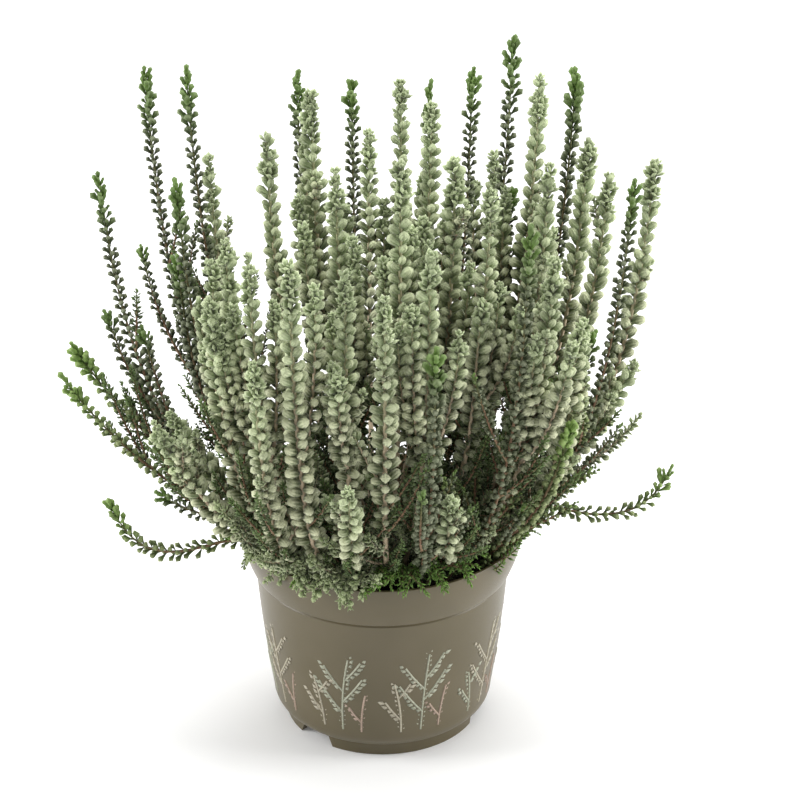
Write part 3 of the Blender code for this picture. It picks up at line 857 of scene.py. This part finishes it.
def shoot_piece(name, kind, curves, seed, bare=0.06):
    """One piece of leafy shoots of a kind, one shoot for each curve."""
    shapes, finish, bark, length, width, row, lean, openness, slot = KINDS[kind]
    add_joined(name, [grow(
        name, points, SHOOT_TREE, pairs=max(5, round(length_of(points) / row)), crowding=0.92,
        bare_share=bare, leaf_length=length, leaf_width=width, lean=lean, wildness=0.25, openness=openness,
        stem_radius=0.0006, stem_rings=8, seed=seed + number, leaf_shapes=shapes, leaf_finish=finish,
        stem_finish=bark) for number, points in enumerate(curves)], slot)


def branch_piece(name, tree, curves, row, seed, slot, **look):
    """One piece of branches that are dressed as the stem beside them is."""
    add_joined(name, [grow(
        name, points, tree, pairs=round(length_of(points) / row), seed=seed + number, crowding=0.88,
        bare_share=0.06, wildness=0.25, stem_rings=20, **look) for number, points in enumerate(curves)], slot)

# %% [markdown]
# ### Where the shoots stand
# Tall stems carry side branches that run beside them, as the photographed plant's do. The
# deep green shoots fill the shade in the middle, and the woolly ones stand in the light.
# %% Grow the branches and side shoots
SILVER = [name for name in LINES if name.startswith("spray_silver")]
GREEN = [name for name in LINES if name.startswith("spray_green") and LINES[name][-1][2] > LOW_TIP]
INNER = [name for name in SILVER if -0.06 < LINES[name][-1][0] < 0.07]
AT_LEFT = [name for name in GREEN + SILVER if LINES[name][-1][0] < -0.06]
AT_RIGHT = [name for name in GREEN + SILVER if LINES[name][-1][0] > 0.05]

branch_piece(
    "silver_branches", SILVER_TREE,
    branches_from(INNER, 56, (0.16, 0.52), (0.24, 0.42), (0.007, 0.015), 8, 0.142), SILVER_ROW, 700,
    "silver_leaves", leaf_length=0.0068, leaf_width=0.0058, lean=0.92, turn=0.6, openness=0.1,
    stem_radius=0.0008, leaf_shapes=VELVET_SET, leaf_finish=VELVET, stem_finish=PALE_BARK)
branch_piece(
    "green_branches", GREEN_TREE, branches_from(GREEN, 12, (0.12, 0.45), (0.25, 0.40), (0.006, 0.012), 9),
    GREEN_ROW, 800, "green_leaves", leaf_length=0.0050, leaf_width=0.0048, lean=0.75, openness=0.2,
    stem_radius=0.0007, leaf_shapes=DARK_SET, leaf_finish=DARK, stem_finish=RED_BARK)

SIDE_SHOOTS = (
    # name, kind, stems, shares of the stem, lengths, lean, lift, count, seed, seed of the leaves
    ("velvet_side_shoots", "velvet", SILVER, (0.22, 0.52), (0.012, 0.026), 0.70, (0.2, 0.6), 34, 11, 1000),
    ("velvet_top_shoots", "sprig", SILVER, (0.55, 0.86), (0.008, 0.016), 0.50, (0.2, 0.6), 56, 18, 1500),
    ("sage_side_shoots", "sage", SILVER, (0.03, 0.32), (0.014, 0.034), 0.95, (0.1, 0.6), 100, 12, 2000),
    ("inner_shoots", "shade", INNER, (0.16, 0.46), (0.018, 0.036), 0.60, (0.1, 0.6), 94, 19, 3100),
    ("dark_side_shoots", "dark", GREEN, (0.15, 0.55), (0.012, 0.034), 0.60, (0.2, 0.6), 34, 13, 3000),
    ("left_side_shoots", "shade", AT_LEFT, (0.20, 0.66), (0.014, 0.036), 0.55, (0.2, 0.6), 70, 15, 3200),
    ("right_side_shoots", "olive", AT_RIGHT, (0.06, 0.42), (0.016, 0.036), 0.75, (0.1, 0.6), 52, 17, 3300),
    ("right_inner_shoots", "shade", AT_RIGHT, (0.06, 0.45), (0.016, 0.040), 0.70, (0.1, 0.6), 50, 16, 3400),
    ("needle_side_shoots", "needle", GREEN + SILVER, (0.02, 0.16), (0.014, 0.034), 1.05, (0.0, 0.5), 70, 14,
     4000),
)
for name, kind, *numbers, leaf_seed in SIDE_SHOOTS:
    shoot_piece(name, kind, shoots_from(*numbers), leaf_seed)

# %% [markdown]
# ## Shoots that hang over the rim
# At the front the lowest shoots spill over the edge of the pot: grey-green and woolly at
# the left, fresh and needle-like in the middle and at the right. Each is a curve that
# rises from the soil, crosses above the rim and droops outside.
# %% Hang shoots over the rim
def rim_line(angle, start_radius, reach, drop, sway, points=11):
    """A curve over the pot's rim at an angle, from the soil to a tip outside and below it."""
    made = []
    out = Vector((math.cos(angle), math.sin(angle), 0))
    side = Vector((-math.sin(angle), math.cos(angle), 0))
    stops = (Vector((start_radius, 0, 0.084)), Vector((start_radius + 0.010, 0, 0.099)),
             Vector((reach - 0.003, 0, 0.100)), Vector((reach, 0, 0.094 - drop)))
    for i in range(points):
        t = i / (points - 1)
        weights = ((1 - t) ** 3, 3 * (1 - t) ** 2 * t, 3 * (1 - t) * t * t, t**3)
        place = sum((stop * weight for stop, weight in zip(stops, weights)), Vector())
        made.append(out * place.x + side * (sway * t * t) + Vector((0, 0, place.z)))
    return made


def rim_shoots(count, angles, reach, drop, seed):
    draw = random.Random(seed)
    low, high = (math.radians(value) for value in angles)
    return [rim_line(draw.uniform(low, high), draw.uniform(0.036, 0.048), draw.uniform(*reach),
                     draw.uniform(*drop), draw.uniform(-0.010, 0.010)) for _ in range(count)]


RIM_SHOOTS = (
    # name, kind, count, degrees round the rim, reach, drop, seed, seed of the leaves, bare share
    ("sage_rim_shoots", "sage", 46, (-152, -92), (0.057, 0.068), (-0.004, 0.007), 21, 5000, 0.12),
    ("velvet_rim_shoots", "velvet", 14, (-150, -105), (0.054, 0.064), (-0.010, 0.001), 22, 5100, 0.2),
    ("needle_rim_shoots", "needle", 30, (-104, -52), (0.056, 0.068), (-0.006, 0.003), 23, 5200, 0.1),
    ("back_rim_shoots", "needle", 24, (-25, 200), (0.057, 0.065), (-0.004, 0.005), 24, 5300, 0.2),
)
for name, kind, *numbers, leaf_seed, bare in RIM_SHOOTS:
    shoot_piece(name, kind, rim_shoots(*numbers), leaf_seed, bare)

# %% [markdown]
# ## The pot
# A moulded pot is a profile turned about its middle, so a list of (radius, height) points
# spun round in many steps makes it. The rim band hangs a little over the body, the body
# narrows to a rounded corner, and three wide gaps are cut from the foot ring. The plain
# solid has only a few sides, so this finer pot takes its place.
# %% Name the pot's sizes
RIM_RADIUS, POT_HEIGHT, WALL = 0.060, 0.091, 0.0014
BAND_HEIGHT, BAND_LOW_RADIUS, BAND_CURVE = 0.0195, 0.0548, 1.7
BODY_TOP_RADIUS, BODY_LOW_RADIUS, BODY_BULGE = 0.0537, 0.0472, 0.0006
CORNER_HEIGHT, FOOT_RADIUS, FOOT_HEIGHT, FOOT_WIDTH = 0.0075, 0.0418, 0.0062, 0.0028
NOTCH_ANGLES, NOTCH_LOW_WIDTH, NOTCH_TOP_WIDTH, NOTCH_HEIGHT = (227, 347, 107), 0.0210, 0.0140, 0.0051
GROOVE = 0.0006
BODY_TOP = POT_HEIGHT - BAND_HEIGHT
BODY_LOW = FOOT_HEIGHT + CORNER_HEIGHT
print("pot height:", POT_HEIGHT, "rim radius:", RIM_RADIUS)

# %% [markdown]
# ### The pot's section
# The sizes above are the plain solid's own, so both pots agree. The wall is as thin as a
# moulded pot's, its lip is rounded, and a groove under the band draws a fine dark line.
# %% Draw the pot's section
def band_radius(drop):
    return RIM_RADIUS - (RIM_RADIUS - BAND_LOW_RADIUS) * min(drop / BAND_HEIGHT, 1) ** BAND_CURVE


def body_radius(height):
    share = (BODY_TOP - height) / (BODY_TOP - BODY_LOW)
    straight = BODY_TOP_RADIUS + (BODY_LOW_RADIUS - BODY_TOP_RADIUS) * share
    return straight + BODY_BULGE * 4 * share * (1 - share)


def rounded(corner, before, after, radius, steps=3):
    """Points that round a corner between two others."""
    corner, before, after = (Vector((r, z)) for r, z in (corner, before, after))
    start = corner + (before - corner).normalized() * radius
    end = corner + (after - corner).normalized() * radius
    made = []
    for i in range(steps + 1):
        t = i / steps
        made.append(tuple(start * (1 - t) ** 2 + corner * (2 * t * (1 - t)) + end * t * t))
    return made


def pot_profile():
    """The pot's section from the middle of its floor, up inside, over the lip and down to below."""
    drops = [BAND_HEIGHT * i / 8 for i in range(1, 8)]
    outer, inner = (RIM_RADIUS, POT_HEIGHT), (RIM_RADIUS - WALL, POT_HEIGHT)
    lip = rounded(outer, inner, (RIM_RADIUS, 0.08), 0.0004)
    band = [(band_radius(drop), POT_HEIGHT - drop) for drop in drops]
    edge = rounded((BAND_LOW_RADIUS, BODY_TOP), band[-1], (BODY_TOP_RADIUS, BODY_TOP), 0.0004)
    groove = [(body_radius(BODY_TOP) - GROOVE, z) for z in (BODY_TOP, BODY_TOP - 0.0008)]
    body = [(body_radius(z), z) for z in np.linspace(BODY_TOP - 0.0016, BODY_LOW, 9)]
    reach = BODY_LOW_RADIUS - FOOT_RADIUS
    corner = []
    for degrees in (15, 30, 45, 60, 72):
        angle = math.radians(degrees)
        corner.append((FOOT_RADIUS + reach * math.cos(angle), BODY_LOW - CORNER_HEIGHT * math.sin(angle)))
    step = [(FOOT_RADIUS + 0.0001, FOOT_HEIGHT + 0.0002), (FOOT_RADIUS - 0.0002, FOOT_HEIGHT - 0.0006)]
    foot = step + [(FOOT_RADIUS, 0.0003), (FOOT_RADIUS - 0.0003, 0), (FOOT_RADIUS - FOOT_WIDTH, 0)]
    under = [(FOOT_RADIUS - FOOT_WIDTH, FOOT_HEIGHT), (0, FOOT_HEIGHT)]
    floor = FOOT_HEIGHT + WALL
    inside = [(0, floor), (FOOT_RADIUS, floor)]
    inside += [(body_radius(z) - WALL, z) for z in np.linspace(BODY_LOW, BODY_TOP, 9)]
    inside += [(BODY_TOP_RADIUS - WALL, BODY_TOP + WALL), (BAND_LOW_RADIUS - WALL, BODY_TOP + WALL)]
    inside += [(band_radius(drop) - WALL, POT_HEIGHT - drop) for drop in reversed(drops)]
    inside += rounded(inner, (RIM_RADIUS - WALL, 0.08), outer, 0.0004)
    return inside + lip + band + edge + groove + body + corner + foot + under


print("points in the section:", len(pot_profile()))

# %% [markdown]
# ### Turning and cutting
# Spinning the section makes the shell, closed at both ends on the axis. The gaps in the
# foot ring are cut with closed blocks, because a cut keeps the walls of a gap straight,
# where moving single points would bend them.
# %% Turn the pot and cut its foot ring
POT_STEPS = 144


def turned(name, profile, steps):
    """A closed mesh turned about Z from points of which the first and the last are on the axis."""
    mesh = bmesh.new()
    rings = []
    for radius, height in profile:
        if radius < 1e-9:
            rings.append([mesh.verts.new((0, 0, height))])
            continue
        angles = (2 * math.pi * i / steps for i in range(steps))
        rings.append([mesh.verts.new((radius * math.cos(a), radius * math.sin(a), height)) for a in angles])
    for low, high in zip(rings, rings[1:]):
        for i in range(steps):
            j = (i + 1) % steps
            loop = [low[i % len(low)], low[j % len(low)], high[j % len(high)], high[i % len(high)]]
            mesh.faces.new(list(dict.fromkeys(loop)))
    bmesh.ops.recalc_face_normals(mesh, faces=mesh.faces)
    for face in mesh.faces:
        face.smooth = True
    return as_mesh(name, mesh)


def notch_cutter(degrees):
    """A block through the foot ring at an angle, wider below than above."""
    mesh = bmesh.new()
    bmesh.ops.create_cube(mesh, size=1)
    for vert in mesh.verts:
        below = vert.co.z < 0
        vert.co.x = FOOT_RADIUS - FOOT_WIDTH / 2 + vert.co.x * 6 * FOOT_WIDTH
        vert.co.y *= NOTCH_LOW_WIDTH if below else NOTCH_TOP_WIDTH
        vert.co.z = -FOOT_WIDTH if below else NOTCH_HEIGHT
    turn = Matrix.Rotation(math.radians(degrees), 3, "Z")
    bmesh.ops.rotate(mesh, verts=mesh.verts, cent=(0, 0, 0), matrix=turn)
    return as_mesh("cutter", mesh)


def cut_away(data, cutters):
    """The mesh with closed cutters taken away from it."""
    whole = new_object("whole", data)
    tools = [new_object("tool", cutter) for cutter in cutters]
    for tool in tools:
        boolean = whole.modifiers.new("cut", "BOOLEAN")
        boolean.operation, boolean.solver, boolean.object = "DIFFERENCE", "EXACT", tool
    graph = bpy.context.evaluated_depsgraph_get()
    made = bpy.data.meshes.new_from_object(whole.evaluated_get(graph), depsgraph=graph)
    for obj in [whole] + tools:
        bpy.data.objects.remove(obj)
    return made


pot_mesh = cut_away(turned("pot_shell", pot_profile(), POT_STEPS), map(notch_cutter, NOTCH_ANGLES))
for polygon in pot_mesh.polygons:
    polygon.use_smooth = True
pot_mesh.set_sharp_from_angle(angle=math.radians(35))
print("pot:", triangles(pot_mesh), "triangles")

# %% [markdown]
# ## Moulded plastic
# The plastic is taupe, satin and not quite even: a fine grain from the mould breaks up
# its shine, and its colour drifts a little from place to place.
# %% Finish the pot
PLASTIC, plastic_tree, plastic = new_material("taupe_plastic", 0.36)
drift = ramp(plastic_tree, grain(plastic_tree, 28), 0.3, 0.7)
colour = blend(plastic_tree, drift, (0.087, 0.070, 0.032), (0.101, 0.081, 0.040))
plastic_tree.links.new(colour, plastic.inputs["Base Color"])
mould = grain(plastic_tree, 2600, 3.0)
rough = ramp(plastic_tree, mould, 0.3, 0.7, 0.33, 0.43)
plastic_tree.links.new(rough, plastic.inputs["Roughness"])
roughen(plastic_tree, plastic, mould, 0.00004, 0.5)
pot_mesh.materials.clear()
pot_mesh.materials.append(PLASTIC)
add_piece("pot_shell", pot_mesh, "pot", "pot")
print("finish:", PLASTIC.name)

# %% [markdown]
# ## The printed edging
# Round the pot's body runs a plain printed edging of leafy sprigs in sage, cream and a dull
# rose. A print is only ink, but a picture file isn't wanted here, so each sprig is a
# hair-thin relief: a line drawn on the wall, and flat leaves set along it by a small tree
# of its own, which lays every leaf flat on the wall.
# %% Build the sprig tree
PRINT_INPUTS = {
    "Spacing": 0.0016, "Leaf Length": 0.003, "Leaf Width": 0.0011, "Lean": 0.7, "Line Radius": 0.00018,
    "Seed": 1, "Leaf": "Object", "Ink": "Material"}
INK_DEPTH = 0.00022


def sprig_tree(name):
    """A tree that turns lines on a wall into stalks with flat leaves on both sides."""
    tree, given, out = new_tree(name, PRINT_INPUTS)
    line = make(tree, "GeometryNodeMeshToCurve", {"Mesh": given["Geometry"]})
    sockets = {"Curve": line, "Length": given["Spacing"]}
    points = put(tree, "GeometryNodeCurveToPoints", sockets, mode="LENGTH").outputs
    index = make(tree, "GeometryNodeInputIndex")
    place = make(tree, "GeometryNodeInputPosition")
    outward = make(tree, "ShaderNodeVectorMath", {0: place, 1: (1, 1, 0)}, operation="MULTIPLY")
    rotation = make(tree, "FunctionNodeAlignRotationToVector", {"Vector": points["Tangent"]}, axis="Z")
    rotation = make(tree, "FunctionNodeAlignRotationToVector", {
        "Rotation": rotation, "Vector": outward}, axis="Y", pivot_axis="Z")
    side = calc(tree, "SUBTRACT", times(tree, calc(tree, "MODULO", index, 2), 2), 1)
    wild = random_number(tree, 0.8, 1.2, index, given["Seed"], 5)
    rotation = turn_by(tree, rotation, y=times(tree, side, given["Lean"], wild))
    size = make(tree, "ShaderNodeCombineXYZ", {
        "X": given["Leaf Width"], "Y": INK_DEPTH, "Z": times(tree, given["Leaf Length"], wild)})
    leaf = put(tree, "GeometryNodeObjectInfo", {"Object": given["Leaf"]}).outputs["Geometry"]
    leaves = copies(tree, points["Points"], leaf, rotation, size)
    sprigs = joined(tree, tube(tree, line, given["Line Radius"]), leaves)
    tree.links.new(painted(tree, sprigs, given["Ink"]), out.inputs[0])
    return tree


def ink(name, colour):
    made, tree, shader = new_material(name, 0.45)
    worn = ramp(tree, grain(tree, 1400, 3.0), 0.35, 0.65)
    faded = tuple(part * 0.72 for part in colour)
    tree.links.new(blend(tree, worn, faded, colour), shader.inputs["Base Color"])
    return made


INKS = {"sage": ink("sage_ink", (0.380, 0.390, 0.290)), "cream": ink("cream_ink", (0.440, 0.400, 0.300)),
        "rose": ink("rose_ink", (0.420, 0.310, 0.240))}
flat = bmesh.new()
add_leaf(flat, math.pi / 2, 0.0, width=1.0, thickness=1.0, belly=0.55)
FLAT_LEAF = keep_shape("flat_leaf", flat)
SPRIG_TREE = sprig_tree("printed_sprig")
print("inks:", *INKS)

# %% [markdown]
# The sprigs stand in groups of three, a tall one between two short ones, and the groups go
# round the pot in even steps. A sprig is drawn in two numbers, how far round and how high,
# and then wrapped on the wall, a hair under its surface so that only the ink stands proud.
# %% Draw the sprigs on the wall
def wall_point(arc, height):
    """A point on the body's wall, arc metres round from the front."""
    radius = body_radius(height) - INK_DEPTH / 2
    angle = -math.pi / 2 + arc / BODY_LOW_RADIUS
    return radius * math.cos(angle), radius * math.sin(angle), height


def sprig_lines(arc, low, height, bend, twigs):
    """A bent stalk and its twigs, as lines on the wall."""
    main = [(arc + bend * t * t, low + height * t) for t in np.linspace(0, 1, 9)]
    lines = [main]
    for k in range(twigs):
        t = 0.25 + 0.45 * k / max(1, twigs - 1)
        x, z = arc + bend * t * t, low + height * t
        side = 1 if k % 2 else -1
        reach = height * (0.38 - 0.2 * t)
        lines.append([(x + side * reach * s * 0.75, z + reach * (0.9 * s + 0.25 * s * s))
                      for s in np.linspace(0, 1, 5)])
    return [[wall_point(*point) for point in line] for line in lines]


GROUPS, SPRIG_FOOT = 9, 0.0150
draw = random.Random(5)
drawn = {colour: [] for colour in INKS}
for group in range(GROUPS):
    middle = 2 * math.pi * BODY_LOW_RADIUS * (group + 0.5) / GROUPS
    tall, short = ("sage", "cream") if group % 2 == 0 else ("cream", "sage")
    height, bend = draw.uniform(0.036, 0.041), draw.uniform(-0.004, 0.004)
    drawn[tall] += sprig_lines(middle, SPRIG_FOOT, height, bend, 4)
    drawn[short] += sprig_lines(middle - 0.0085, SPRIG_FOOT, draw.uniform(0.022, 0.027), -0.003, 2)
    drawn["rose"] += sprig_lines(middle + 0.0080, SPRIG_FOOT, draw.uniform(0.017, 0.021), 0.002, 1)
for number, (colour, lines) in enumerate(drawn.items()):
    size = 0.8 if colour == "rose" else 1.0
    mesh = run_tree("print", line_mesh(lines), SPRIG_TREE, {
        "Spacing": 0.0012, "Leaf Length": 0.0036 * size, "Leaf Width": 0.0022 * size, "Lean": 0.55,
        "Line Radius": 0.00045, "Seed": number, "Leaf": FLAT_LEAF, "Ink": INKS[colour]})
    add_piece(f"printed_sprigs_{colour}", mesh, "pot")
    print("printed sprigs,", colour, triangles(mesh), "triangles")

# %% [markdown]
# ## Soil
# The root ball fills the pot to a finger's width under its rim. Its body is turned like the
# pot, then noise lifts and drops its top. Crumbs of peat are scattered over it by a tree,
# so the bare places at the front show real lumps.
# %% Turn and roughen the soil
SOIL_TOP, SOIL_EDGE, GAP = 0.0830, 0.0815, 0.0004
edge_radius = band_radius(POT_HEIGHT - SOIL_EDGE) - WALL - GAP
top = [(edge_radius * i / 24, SOIL_TOP + (SOIL_EDGE - SOIL_TOP) * i / 24) for i in range(25)]
side = [(band_radius(POT_HEIGHT - z) - WALL - GAP, z) for z in (0.079, 0.076, BODY_TOP + WALL + GAP)]
side += [(BODY_TOP_RADIUS - WALL - GAP, BODY_TOP + WALL + GAP), (BODY_TOP_RADIUS - WALL - GAP, BODY_TOP)]
side += [(body_radius(z) - WALL - GAP, z) for z in (0.05, 0.03, BODY_LOW)]
side += [(FOOT_RADIUS - GAP, FOOT_HEIGHT + WALL + GAP), (0, FOOT_HEIGHT + WALL + GAP)]
soil_mesh = turned("root_ball", top + side, 120)
for vert in soil_mesh.vertices:
    if vert.co.z > SOIL_EDGE - 0.0005 and vert.co.xy.length < edge_radius - 0.001:
        vert.co.z += 0.0022 * noise.noise(vert.co * 130) + 0.0010 * noise.noise(vert.co * 420) - 0.0006
SOIL, soil_tree, soil_shader = new_material("dark_peat", 0.95)
crumbs = grain(soil_tree, 700, 4.0)
colour = blend(soil_tree, ramp(soil_tree, crumbs, 0.35, 0.7), (0.008, 0.006, 0.004), (0.045, 0.030, 0.019))
soil_tree.links.new(colour, soil_shader.inputs["Base Color"])
roughen(soil_tree, soil_shader, crumbs, 0.0008, 1.0)
soil_mesh.materials.append(SOIL)
add_piece("root_ball", soil_mesh, "soil", "soil")
print("soil:", triangles(soil_mesh), "triangles")

# %% [markdown]
# Crumbs are lumpy little stones of a few faces. The tree scatters them over a thin disc on
# the soil's top, and turns and scales each one by chance from a fixed seed.
# %% Scatter crumbs on the soil
CRUMB_INPUTS = {
    "Per Square Metre": 200000.0, "Smallest": 0.0006, "Largest": 0.0018, "Seed": 1, "Crumb": "Object",
    "Finish": "Material"}


def crumb_tree():
    tree, given, out = new_tree("scattered_crumbs", CRUMB_INPUTS)
    seed = given["Seed"]
    points = make(tree, "GeometryNodeDistributePointsOnFaces", {
        "Mesh": given["Geometry"], "Density": given["Per Square Metre"], "Seed": seed})
    index = make(tree, "GeometryNodeInputIndex")
    angles = [random_number(tree, 0.0, 6.2, index, seed, extra) for extra in (3, 4, 5)]
    rotation = make(tree, "ShaderNodeCombineXYZ", dict(enumerate(angles)))
    size = random_number(tree, given["Smallest"], given["Largest"], index, seed, 9)
    crumb = put(tree, "GeometryNodeObjectInfo", {"Object": given["Crumb"]}).outputs["Geometry"]
    rotation = make(tree, "FunctionNodeEulerToRotation", {"Euler": rotation})
    placed = copies(tree, points, crumb, rotation, size)
    tree.links.new(painted(tree, placed, given["Finish"]), out.inputs[0])
    return tree


lump = bmesh.new()
bmesh.ops.create_icosphere(lump, subdivisions=1, radius=0.5)
for vert in lump.verts:
    vert.co *= 1 + 0.35 * noise.noise(vert.co * 3 + Vector((5, 2, 1)))
    vert.co.z *= 0.7
CRUMB = keep_shape("crumb", lump, smooth=False)
disc = turned("soil_disc", [(0, 0.0831), (0.030, 0.0823), (0.055, 0.0812), (0.055, 0.0810), (0, 0.0810)], 48)
crumb_mesh = run_tree("crumbs", disc, crumb_tree(), {
    "Per Square Metre": 70000.0, "Smallest": 0.0009, "Largest": 0.0030, "Seed": 4, "Crumb": CRUMB,
    "Finish": SOIL})
add_piece("soil_crumbs", crumb_mesh, "soil")
print("crumbs:", triangles(crumb_mesh), "triangles")
